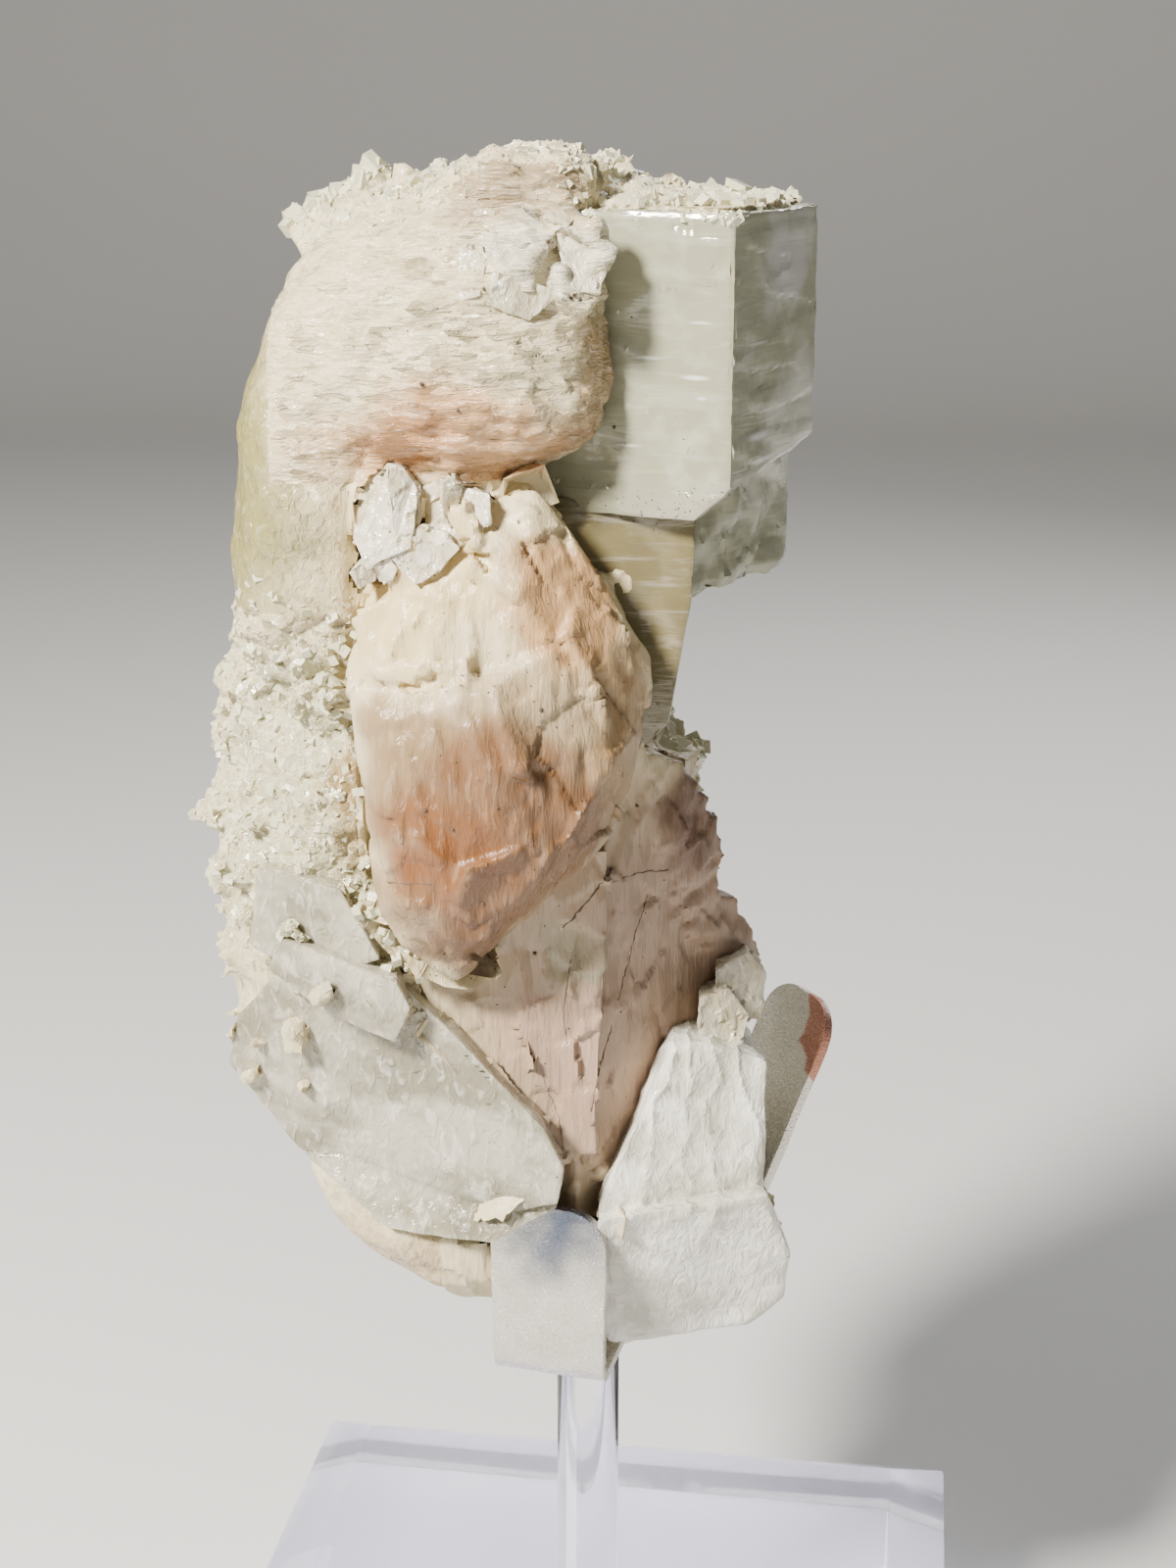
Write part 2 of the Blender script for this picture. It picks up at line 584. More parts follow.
def ribRelief(place, normal):
    lean = (place.x - 12) / (1 + (94 - place.z) * 0.05) + noise.noise(place * 0.22) * 1.6
    ribs = (1 - abs(math.sin(lean * 1.5))) ** 2 * 0.3 * ramp(place.z, 72, 80)
    return ribs + noise.noise(place * 0.2) * 0.3 + noise.noise(place * 0.6) * 0.06


def plateRelief(place, normal):
    return noise.noise(place * 0.45) * 0.2 + facetRelief(place, 1.6) * 0.34


for title, table, bevel, limit, relief in (("milkyCalcite", milky, 0.35, 0.7, milkyRelief),
                                           ("ribbedCalcite", ribbed, 0.5, 0.6, ribRelief),
                                           ("plates", plates, 0.1, 0.4, plateRelief)):
    made = []
    for name, spec in table.items():
        made.append(solidCrystal(name, lambda bm, spec=spec: addSlab(bm, spec), bevel, limit, relief))
    pieces[title] = smoothShade(joinAll(title, made), 28)
print("calcite crystals")


# ---- body: matrix, loaf, sheaf and fan, grown together as one skin

body = {
    "voxel": 0.55,
    "cutAway": (((1.5, -40, 136), (60, 19, 168.8)), ((-9, -40, 103), (3, -12.2, 116)), ((-3, -14, 122.6), (12, 9, 146)), ((-4.4, -40, 143.8), (4, 14, 168.8)),
                ((-4, -40, 134), (4, -7, 144)), ((-22.5, -40, 112), (-17, -13.6, 126.5))),
    "loaf": ((147.6, -17, -3, -11, 6), (150, -24, 1.4, -14.6, 8), (154, -26.8, 2.2, -16.2, 8),
             (160, -26.4, 2.6, -15.7, 8), (165, -23.6, 3.6, -13.4, 8), (169, -19, 2.7, -9.6, 8),
             (172, -13, -1, -5, 6)),
    "shoulder": ((128, -31, -19, -10, 4), (134, -31.6, -18, -12.6, 4), (142, -31.2, -17, -13.8, 4),
                 (150, -30.6, -16, -14.4, 4), (158, -28.4, -12, -14.2, 4), (165, -24.8, -10, -12, 4),
                 (169.5, -20.5, -8, -8, 4)),
    "dome": ((168, -17, 2, -9, 6), (170.5, -15, 2, -9, 6), (172.6, -12, 1.4, -8, 5), (174.4, -7, -1, -5, 3)),
    "crown": (
        (-4.4, -12.5, 146.5), (-8.6, -12.5, 146), (-15, -12, 141), (-19.3, -12, 136.6), (-20.9, -13, 130.4),
        (-20.4, -13.5, 127), (0, -13.6, 140), (3.5, -13, 135.2), (5.4, -11.5, 131.6), (5.5, -10.5, 127),
        (-5.4, -15.6, 143.2), (-10, -15.8, 142), (-15.4, -16.8, 136), (-18.6, -16.8, 131), (-12, -18.4, 131.4),
        (-4, -17.6, 136), (0.6, -16.8, 131), (-5, -18.8, 129), (3.4, -14.6, 128.4), (-11, -4, 143),
        (-15, -2, 130), (3, -2, 131), (-2, -3, 142), (-14, -4, 118), (3, -3, 118)),
    "shield": (
        (-20.9, -15, 130), (-18.7, -17, 125), (-18.5, -17.4, 109.6), (-16.5, -17, 106.6), (-11.8, -16.6, 102.9),
        (-6, -16, 108.4), (0, -14.4, 113.2), (3.6, -12.4, 118.6), (5.1, -11, 124.4), (4.7, -12, 131.4),
        (-16.6, -19.4, 127.8), (-9.5, -20.2, 130.6), (-3, -18.7, 134), (-15.8, -20.8, 112), (-10.4, -19.9, 107.4),
        (-6, -20.4, 112), (-8.4, -21.3, 120), (-1, -19.2, 119), (2.4, -16.8, 124), (-12, -4, 128),
        (0, -3, 126), (-12, -6, 110), (-16.8, -20.4, 120)),
    "shieldFaces": (  # outline as seen (x, z), proud, thick, tilt
        (((-18.2, 127), (-13.2, 129.7), (-10.6, 130), (-11.4, 122.4), (-18.4, 121.6)), 0.35, 3, (0, 0.05)),
        (((-15.4, 116), (-13, 113.6), (-14.6, 106), (-16.4, 106.2), (-17.6, 110)), 0.3, 3, (-0.05, 0)),
        (((-13, 114), (-11, 112.4), (-12.4, 107), (-13.8, 103.8), (-14.6, 106)), 0.45, 3, (0.05, 0)),
        (((-11, 112.4), (-5.6, 114.6), (-8.2, 107.4), (-11.2, 103.8), (-12.6, 104)), 0.3, 3, (0.1, 0)),
        (((-9.4, 128.6), (-7.6, 130.6), (-5.4, 129.6), (-5.2, 124), (-8.6, 122.4)), 0.35, 3, (0.08, 0)),
        (((-2, 131), (1.4, 131.6), (3.6, 127), (2, 119), (-1.4, 121)), 0.35, 3, (0.12, 0)),
    ),
    "crownFaces": (
        (((-20.4, 136), (-15, 138.6), (-12.4, 134), (-15, 131), (-19.6, 131.6)), 0.3, 3, (-0.05, 0.05)),
        (((-8.2, 145.6), (-5, 146), (-3.4, 143.6), (-6, 137), (-9.6, 139.6)), 0.4, 3, (0, 0.05)),
        (((-3, 143.4), (-0.2, 138.4), (-2.6, 132.4), (-5.6, 135.6), (-5, 141)), 0.35, 3, (0.08, 0)),
        (((-0.4, 138.3), (1.8, 137.8), (2.6, 135), (0, 131), (-2, 134)), 0.4, 3, (0.1, 0)),
        (((2.4, 135.6), (3.6, 133.4), (5.4, 131.8), (5, 128), (1.6, 130)), 0.4, 3, (0.1, 0)),
    ),
    "shieldFlakes": {"at": (-7, 118), "reach": (11, 13), "count": 60, "lean": 98, "spread": 10, "length": (3, 9),
                     "width": (0.8, 2.2), "proud": (0.0, 0.3), "tilt": 0.05},
    "crownFlakes": {"at": (-7, 136), "reach": (11, 9), "count": 120, "lean": 100, "spread": 16, "length": (1.6, 5),
                    "width": (0.7, 1.6), "proud": (0.05, 0.4), "tilt": 0.08},
    "flakes": (
        {"at": (-13, 156), "reach": (12, 9), "count": 190, "lean": 12, "spread": 22, "length": (1.6, 4.5),
         "width": (0.7, 1.8), "proud": (0.1, 0.5), "tilt": 0.10},
        {"at": (-6, 165), "reach": (9, 5), "count": 50, "lean": 50, "spread": 60, "length": (1.2, 3.2),
         "width": (0.8, 1.8), "proud": (0.1, 0.5), "tilt": 0.16},
    ),
}
fan = {
    "centre": (-1.0, -12.0, 101.0), "turn": 43.0, "thickness": 9.0, "first": 70.0, "last": -86.0, "blades": 23,
    "reach": (22.8, 22.8, 22.2, 21.6, 21.4, 19.0, 22.2, 24.8, 25.2, 24.2, 23.0, 22.6, 22.8, 24.4, 26.8),
    "cutAway": ((-1.5, -13, -22), (30, 2.4, 25)), "voxel": 0.38,
    "wing": {"outline": ((-17, 104), (-12, 110), (2, 114), (1, 84), (-3, 83), (-9, 90), (-14, 97)),
             "depth": -12.5, "slope": (0.0, 0.04), "thick": 8, "shrink": 0.9},
}
fanPlace = Matrix.Translation(Vector(fan["centre"])) @ Matrix.Rotation(math.radians(fan["turn"]), 4, "Z")


def fanReach(share):
    spot = share * (len(fan["reach"]) - 1)
    low = min(int(spot), len(fan["reach"]) - 2)
    return fan["reach"][low] + (fan["reach"][low + 1] - fan["reach"][low]) * (spot - low)


def addBlade(bm, share, reach, half, front, roll, start=-1.5):
    outline = ((start, 0), ((reach + start) * 0.5, -half * 0.62), (reach * 0.93, -half), (reach, -half * 0.35),
               (reach * 0.985, half * 0.5), (reach * 0.9, half), ((reach + start) * 0.5, half * 0.62))
    corners = []
    for u, v in outline:
        corners.append(Vector((u, front + roll * v, v)))
        corners.append(Vector((u, fan["thickness"], v)))
    angle = math.radians(fan["first"] + (fan["last"] - fan["first"]) * share)
    turn = Matrix.Rotation(-angle, 4, "Y")
    addHull(bm, [fanPlace @ (turn @ corner) for corner in corners])


def sugarShare(place):
    edge = -14.5 - 4.5 * ramp(place.z, 106, 112)  # the hollow beside the shield stays bare
    band = ramp(place.x, edge, edge - 3.5) * ramp(place.z, 100, 106) * ramp(place.z, 139, 131)
    front = band * ramp(place.y, 12, 6)
    crest = ramp(place.z, 165, 169) * ramp(place.y, -9, -5)
    back = ramp(place.y, 8, 14)
    return max(front, crest * 0.9, back * 0.6)


def zoneOf(place):
    if sugarShare(place) > 0.45:
        return "sugar"
    if place.z > 147 and place.x > -27 and place.y < 0:
        return "loaf"
    if place.x > -21 and 102 < place.z < 147 and place.y < -9.5 and place.z > 113 + place.x * 1.05 - 4:
        return "sheaf"
    if place.x > -14 and place.z < 123 and place.y < 12:
        return "fan"
    return "smooth"


def sheafRelief(place, normal):
    strand = fibres(place, 1.0, 16, Vector((-0.16, 0, 0.987)))
    return strand * 0.05 + noise.noise(place * 0.3) * 0.1 + facetRelief(place, 4.6) * 0.22


def fanRelief(place, normal):
    strand = fibres(place, 1.2, 18, Vector((0.1, 0, 0.99)))
    return strand * 0.1 + noise.noise(place * 0.2) * 0.35 + facetRelief(place, 4.5) * 0.22


def covered(place, margin):
    away = place - cameraSpot
    hit, _, _, reach = coverTree.ray_cast(cameraSpot * mm, away.normalized())
    return hit is not None and reach * 1000 < away.length + margin


def bodyRelief(place, normal):
    zone = zoneOf(place)
    margin = {"sheaf": 3.5, "fan": 2.6}.get(zone, 0.9)
    if place.y < 6 and covered(place, margin):  # a crystal of its own stands over it here
        return -margin
    broad = noise.noise(place * 0.22) * 0.5
    if zone == "sugar":
        return broad + facetRelief(place, 1.8) * 0.8 + noise.noise(place * 0.8) * 0.2
    if zone == "loaf":
        bend = Vector((place.x, place.y, place.z + 2.2 * math.sin(place.x * 0.16 + 0.6)))
        scales = facetRelief(Vector((bend.x * 0.4, bend.y, bend.z)), 1.7)
        return broad + fibres(bend, 0.8, 6.0, Vector((0.94, 0.1, 0.33))) * 0.24 + scales * 0.42
    if zone in ("sheaf", "fan"):
        return sheafRelief(place, normal)
    return broad * 0.6 + noise.noise(place * 0.7) * 0.12


skin = bpy.data.objects.new("skin", stoneNode.data.copy())
bpy.context.scene.collection.objects.link(skin)
cadTree = treeOf(skin)
cutShapes = []
for box, placing in [(box, Matrix.Identity(4)) for box in body["cutAway"]] + [(fan["cutAway"], fanPlace)]:
    low, high = box
    corners = [Vector((x, y, z)) for x in (low[0], high[0]) for y in (low[1], high[1]) for z in (low[2], high[2])]
    cutShapes.append([placing @ corner for corner in corners])
for title in ("crown", "shield"):  # and whatever would stand in front of these two
    corners = [Vector(corner) for corner in body[title]]
    middle = sum(corners, Vector()) / len(corners)
    inner = [middle + (corner - middle) * 0.9 for corner in corners]
    cutShapes.append(inner + [corner + Vector((0, -12, 0)) for corner in corners])
for corners in cutShapes:
    bm = bmesh.new()
    addHull(bm, corners)
    cutter = toObject(bm, "cutter")
    cut = skin.modifiers.new("cut", "BOOLEAN")
    cut.operation = "DIFFERENCE"
    cut.solver = "EXACT"
    cut.object = cutter
    applyAll(skin)
    bpy.data.objects.remove(cutter, do_unlink=True)
bm = bmesh.new()
for title in ("crown", "shield"):
    addHull(bm, body[title])
    for outline, proud, thick, tilt in body[title + "Faces"]:
        addSetIn(bm, cadTree, outline, proud, thick, tilt)
    addFlakes(bm, cadTree, body[title + "Flakes"])
pieces["sheaf"] = voxelSkin(toObject(bm, "sheaf"), 0.38, 1)
displace(pieces["sheaf"], sheafRelief)
smoothShade(pieces["sheaf"], 60)
print("sheaf", len(pieces["sheaf"].data.polygons))

bm = bmesh.new()
for index in range(fan["blades"]):
    share = index / (fan["blades"] - 1)
    reach = fanReach(share) + dice.uniform(-0.5, 0.3)
    addBlade(bm, share, reach, reach * 0.075, dice.uniform(-0.45, -0.2), dice.uniform(0.0, 0.09))
for index in range(26):  # small blades that step the rim
    share = dice.uniform(0.0, 0.5)
    reach = fanReach(share) * dice.uniform(0.84, 0.99)
    addBlade(bm, share, reach, dice.uniform(0.7, 1.4), dice.uniform(-0.9, -0.5), dice.uniform(0.0, 0.3), reach * 0.72)
addSlab(bm, fan["wing"])
pieces["fan"] = voxelSkin(toObject(bm, "fan"), fan["voxel"], 3)
displace(pieces["fan"], fanRelief)
smoothShade(pieces["fan"], 60)
print("fan", len(pieces["fan"].data.polygons))

coverTree = treeOf(*pieces.values())
bm = bmesh.new()
bm.from_mesh(skin.data)
bpy.data.objects.remove(skin, do_unlink=True)
addMass(bm, body["loaf"], 48, 28, 0.7, 1.0)
addMass(bm, body["shoulder"], 40, 30, 0.8, 0.8)
addMass(bm, body["dome"], 36, 16, 0.8, 0.8)
for patch in body["flakes"]:
    addFlakes(bm, cadTree, patch)
skin = voxelSkin(toObject(bm, "skin"), body["voxel"], 2)
displace(skin, bodyRelief)
pieces["body"] = smoothShade(skin, 60)
print("body", len(skin.data.polygons))

bodyTree = treeOf(skin)
extra = []
for outline, proud, thick, tilt in loafCrystals:
    extra.append(solidCrystal("loafCrystal", lambda bm, shape=outline, p=proud, t=thick, lean=tilt:
                              addSetIn(bm, bodyTree, shape, p, t, lean), 0.1, 0.5, plateRelief))
pieces["loafCrystals"] = smoothShade(joinAll("loafCrystals", extra), 28)
print("loaf crystals")


# ---- druse: small crystals on the left band, the crest and the back

druse = {"count": 10500, "size": (0.35, 1.0), "backSize": (0.9, 2.0), "depth": -0.36, "wander": 0.8}


def template(kind):
    bm = bmesh.new()
    if kind == "rhomb":
        bmesh.ops.create_cube(bm, size=1.0)
        lean = Matrix.Identity(4)
        lean[0][2] = 0.28
        lean[1][2] = 0.12
        bmesh.ops.transform(bm, matrix=lean, verts=bm.verts)
    if kind == "ball":
        bmesh.ops.create_icosphere(bm, subdivisions=1, radius=0.62)
        for vert in bm.verts:
            vert.co *= 1 + noise.noise(vert.co * 3.1) * 0.5
    if kind == "blade":
        bmesh.ops.create_cone(bm, cap_ends=True, segments=5, radius1=0.75, radius2=0.45, depth=0.8)
        bmesh.ops.transform(bm, matrix=Matrix.Diagonal((1.1, 0.6, 1, 1)), verts=bm.verts)
    verts = np.array([vert.co[:] for vert in bm.verts])
    bm.verts.index_update()
    faces = [[vert.index for vert in face.verts] for face in bm.faces]
    bm.free()
    return verts, faces


templates = [template(kind) for kind in ("rhomb", "ball", "blade")]


def scatter(name, spots):
    verts = []
    faces = []
    for place, axis, size, kind in spots:
        shape, sides = templates[kind]
        turn = axis.to_track_quat("Z", "X").to_matrix() @ Matrix.Rotation(dice.uniform(0, math.tau), 3, "Z")
        stretch = np.array((dice.uniform(0.7, 1.2), dice.uniform(0.7, 1.2), dice.uniform(0.7, 1.25)))
        moved = (shape * stretch * size) @ np.array(turn).T + np.array(place)
        first = len(verts)
        verts.extend((moved * mm).tolist())
        faces.extend([first + corner for corner in side] for side in sides)
    mesh = bpy.data.meshes.new(name)
    mesh.from_pydata(verts, [], faces)
    made = bpy.data.objects.new(name, mesh)
    bpy.context.scene.collection.objects.link(made)
    return made


def sampleFaces(obj, count, shareAt):
    faces = obj.data.polygons
    areas = np.empty(len(faces))
    faces.foreach_get("area", areas)
    centres = np.empty(len(faces) * 3)
    faces.foreach_get("center", centres)
    centres = centres.reshape(-1, 3) * 1000
    weights = np.array([shareAt(Vector(centre)) for centre in centres.tolist()]) * areas
    picker = np.random.default_rng(5)
    chosen = picker.choice(len(faces), size=count, p=weights / weights.sum())
    return [(Vector(centres[index]), faces[index].normal.copy()) for index in chosen.tolist()]


spots = []
for place, normal in sampleFaces(pieces["body"], druse["count"], sugarShare):
    sizes = druse["backSize"] if place.y > 9 else druse["size"]
    size = sizes[0] + (sizes[1] - sizes[0]) * dice.random() ** 1.6
    wander = Vector((dice.gauss(0, 1), dice.gauss(0, 1), dice.gauss(0, 1))) * druse["wander"]
    axis = (normal + wander).normalized()
    spots.append((place + normal * size * druse["depth"], axis, size, dice.choice((0, 0, 0, 2))))
for place, normal in sampleFaces(pieces["block"], 800, lambda p: ramp(p.z, 168, 169) * ramp(p.x, 17, 9)):
    size = dice.uniform(0.4, 0.9)
    spots.append((place - normal * size * 0.5, (normal + Vector((dice.gauss(0, 0.5), dice.gauss(0, 0.5), 0))).normalized(),
                  size, dice.choice((0, 0, 2))))
pieces["druse"] = scatter("druse", spots)
print("druse", len(pieces["druse"].data.polygons))


# ---- dirt: dark grains on the front, and the cracks that dirt has filled

dirt = {
    "grains": ((-3.3, 167.2), (-8.6, 163.4), (-6.5, 161.4), (-4.4, 161.4), (-5.9, 159), (-13.9, 155.6),
               (-12.4, 172.4), (-1.6, 162.8), (-1.2, 162.9), (-1.4, 162.6), (-0.7, 162.5), (-14.4, 118.2), (-12, 116.4), (-8, 118.4),
               (-4.1, 127.4), (4.3, 118.6), (-10.9, 153.4), (-9.4, 109.4), (-4.8, 104.6), (2.2, 152)),
    "patches": (((8, 145.4), (7, 1.8), 90), ((-8, 160), (12, 10), 60), ((-6, 132), (10, 10), 60),
                ((-6, 115), (9, 10), 40), ((-13, 104), (5, 3), 40), ((0, 95), (8, 14), 40), ((-10, 90), (14, 10), 30)),
    "cracks": (
        (0.10, ((2.2, 112.7), (0, 109.6), (-2.5, 106.7))),
        (0.05, ((2, 111.3), (4.5, 112.3), (7.5, 112.6))),
        (0.06, ((5.4, 110.2), (4.2, 106.4), (3.6, 103.5), (2.6, 99.6))),
        (0.06, ((2.2, 97.6), (1.1, 93.6), (0.2, 88.5))),
        (0.05, ((-1.6, 104), (-2.2, 99), (-1.9, 95))),
        (0.05, ((-18, 111.4), (-13.6, 111.2))),
        (0.05, ((-4.2, 92.6), (-2.8, 88.6), (-2.2, 85))),
    ),
}
front = treeOf(*[pieces[name] for name in ("body", "sheaf", "fan", "block", "lowerCalcite", "milkyCalcite", "plates")])
seen = list(dirt["grains"]) * 2
for at, reach, count in dirt["patches"]:
    seen += [(dice.gauss(at[0], reach[0] * 0.5), dice.gauss(at[1], reach[1] * 0.5)) for index in range(count)]
spots = []
for index, (x, z) in enumerate(seen):
    hit, normal = onSurface(front, x, z)
    if hit is None:
        continue
    listed = index < len(dirt["grains"]) * 2
    size = dice.uniform(0.2, 0.34) if listed else dice.uniform(0.06, 0.16)
    spots.append((hit, normal, size, 1))
grains = scatter("grains", spots)


def crackLine(radius, points):
    curve = bpy.data.curves.new("crack", "CURVE")
    curve.dimensions = "3D"
    curve.bevel_depth = radius * mm
    curve.bevel_resolution = 1
    line = []
    for (x0, z0), (x1, z1) in zip(points, points[1:]):
        steps = max(2, int(math.hypot(x1 - x0, z1 - z0) / 0.35))
        for step in range(steps):
            x = x0 + (x1 - x0) * step / steps + dice.gauss(0, 0.05)
            z = z0 + (z1 - z0) * step / steps + dice.gauss(0, 0.05)
            hit, _ = onSurface(front, x, z)
            if hit is not None:
                line.append(hit * mm)
    spline = curve.splines.new("POLY")
    spline.points.add(len(line) - 1)
    for point, place in zip(spline.points, line):
        point.co = (place.x, place.y, place.z, 1)
        point.radius = dice.uniform(0.3, 1.3)
    made = bpy.data.objects.new("crack", curve)
    bpy.context.scene.collection.objects.link(made)
    bpy.context.view_layer.update()
    mesh = bpy.data.meshes.new_from_object(made.evaluated_get(bpy.context.evaluated_depsgraph_get()))
    bpy.data.objects.remove(made, do_unlink=True)
    tube = bpy.data.objects.new("crack", mesh)
    bpy.context.scene.collection.objects.link(tube)
    return tube


pieces["dirt"] = joinAll("dirt", [grains] + [crackLine(radius, points) for radius, points in dirt["cracks"]])
print("dirt")


# ---- stand: claw, rod and base

stand = {
    "rodDiameter": 6.35, "rodTop": 59.6, "rodBottom": 15.3, "hubDiameter": 15.0, "hubThickness": 1.3,
    "baseSide": 76.0, "baseHeight": 23.0, "bevelWidth": 6.5, "bevelDrop": 4.0, "baseTurn": -8.3,
    "sheet": 1.0, "neck": 10.2, "width": 11.5, "corner": 4.2, "columns": 12, "bendSteps": 14, "tipSteps": 10,
}
arms = {
    "front": {"azimuth": -105.0, "climb": 1.5, "reach": 14.4, "bend": 2.2, "lean": -1.0, "tip": 79.0},
    "right": {"azimuth": 27.0, "climb": 12.0, "reach": 13.6, "bend": 8.0, "lean": 24.0, "tip": 90.2},
    "left": {"azimuth": 142.0, "climb": 4.0, "reach": 19.8, "bend": 6.0, "lean": 14.0, "tip": 86.0},
}
hubZ = stand["rodTop"] + 0.3 + stand["hubThickness"] / 2


def armLine(arm):
    climb = math.radians(arm["climb"])
    rise = math.radians(90 - arm["lean"])
    along = Vector((math.cos(climb), math.sin(climb)))
    up = Vector((math.cos(rise), math.sin(rise)))
    corner = Vector((arm["reach"], hubZ + math.tan(climb) * arm["reach"]))
    start = corner - along * (arm["bend"] * math.tan((rise - climb) / 2))
    centre = start + Vector((-along.y, along.x)) * arm["bend"]
    line = [Vector((0, hubZ)).lerp(start, step / 6) for step in range(6)]
    for step in range(stand["bendSteps"] + 1):
        angle = climb + (rise - climb) * step / stand["bendSteps"]
        line.append(centre + Vector((math.sin(angle), -math.cos(angle))) * arm["bend"])
    last = line[-1]
    straight = (arm["tip"] - last.y) / up.y - stand["corner"]
    line += [last + up * straight * step / 10 for step in range(1, 11)]
    for step in range(1, stand["tipSteps"] + 1):
        run = straight + stand["corner"] * math.sin(math.pi / 2 * step / stand["tipSteps"])
        line.append(last + up * run)
    return line


def buildArm(name, arm):
    line = armLine(arm)
    walked = [0.0]
    for a, b in zip(line, line[1:]):
        walked.append(walked[-1] + (b - a).length)
    bm = bmesh.new()
    bmesh.ops.create_grid(bm, x_segments=stand["columns"], y_segments=len(line) - 1, size=1.0)
    for vert in bm.verts:
        row = round((vert.co.y + 1) / 2 * (len(line) - 1))
        half = (stand["neck"] + (stand["width"] - stand["neck"]) * walked[row] / walked[-1]) / 2
        left = walked[-1] - walked[row]
        if left < stand["corner"]:
            half -= stand["corner"] - math.sqrt(stand["corner"] ** 2 - (stand["corner"] - left) ** 2)
        half += noise.noise(Vector((row * 0.7, arm["azimuth"], 0))) * 0.09
        vert.co = Vector((line[row].x, vert.co.x * half, line[row].y)) * mm
    bmesh.ops.transform(bm, matrix=Matrix.Rotation(math.radians(arm["azimuth"]), 4, "Z"), verts=bm.verts)
    made = toObject(bm, name)
    sheet = made.modifiers.new("sheet", "SOLIDIFY")
    sheet.thickness = stand["sheet"] * mm
    sheet.offset = 0
    edge = made.modifiers.new("edge", "BEVEL")
    edge.width = 0.16 * mm
    edge.segments = 2
    edge.limit_method = "ANGLE"
    applyAll(made)
    return displace(made, lambda p, n: noise.noise(p * 0.35) * 0.1 + noise.noise(p * 1.1) * 0.025)


def turnedBar(name, diameter, bottom, top, edge):
    bm = bmesh.new()
    bmesh.ops.create_cone(bm, cap_ends=True, segments=96, radius1=diameter / 2 * mm, radius2=diameter / 2 * mm,
                          depth=(top - bottom) * mm)
    bmesh.ops.translate(bm, verts=bm.verts, vec=(0, 0, (top + bottom) / 2 * mm))
    rims = [item for item in bm.edges if abs(item.verts[0].co.z - item.verts[1].co.z) < 1e-6]
    if edge:
        bmesh.ops.bevel(bm, geom=rims, offset=edge * mm, segments=3, profile=0.5, affect="EDGES")
    return toObject(bm, name)


clawParts = [buildArm(name, arm) for name, arm in arms.items()]
clawParts.append(turnedBar("hub", stand["hubDiameter"], hubZ - stand["hubThickness"] / 2,
                           hubZ + stand["hubThickness"] / 2, 0.15))
pieces["claw"] = smoothShade(joinAll("clawSheet", clawParts), 40)
pieces["rod"] = smoothShade(turnedBar("clearRod", stand["rodDiameter"], stand["rodBottom"], stand["rodTop"], 0.3), 40)
bm = bmesh.new()
half = stand["baseSide"] / 2
inner = half - stand["bevelWidth"]
shoulder = stand["baseHeight"] - stand["bevelDrop"]
addHull(bm, [(x * half, y * half, z) for x in (-1, 1) for y in (-1, 1) for z in (0, shoulder)]
        + [(x * inner, y * inner, stand["baseHeight"]) for x in (-1, 1) for y in (-1, 1)])
bmesh.ops.dissolve_limit(bm, angle_limit=math.radians(2), verts=bm.verts, edges=bm.edges)
bmesh.ops.bevel(bm, geom=list(bm.edges), offset=0.35 * mm, segments=2, profile=0.6, affect="EDGES")
bmesh.ops.rotate(bm, verts=bm.verts, matrix=Matrix.Rotation(math.radians(stand["baseTurn"]), 3, "Z"))
baseBody = toObject(bm, "clearBase")
socket = turnedBar("socket", stand["rodDiameter"] + 0.6, stand["rodBottom"] - 0.3, stand["baseHeight"] + 1, 0)
cut = baseBody.modifiers.new("socket", "BOOLEAN")
cut.operation = "DIFFERENCE"
cut.solver = "EXACT"
cut.object = socket
applyAll(baseBody)
bpy.data.objects.remove(socket, do_unlink=True)
pieces["base"] = smoothShade(baseBody, 25)
print("stand")


# ---- materials

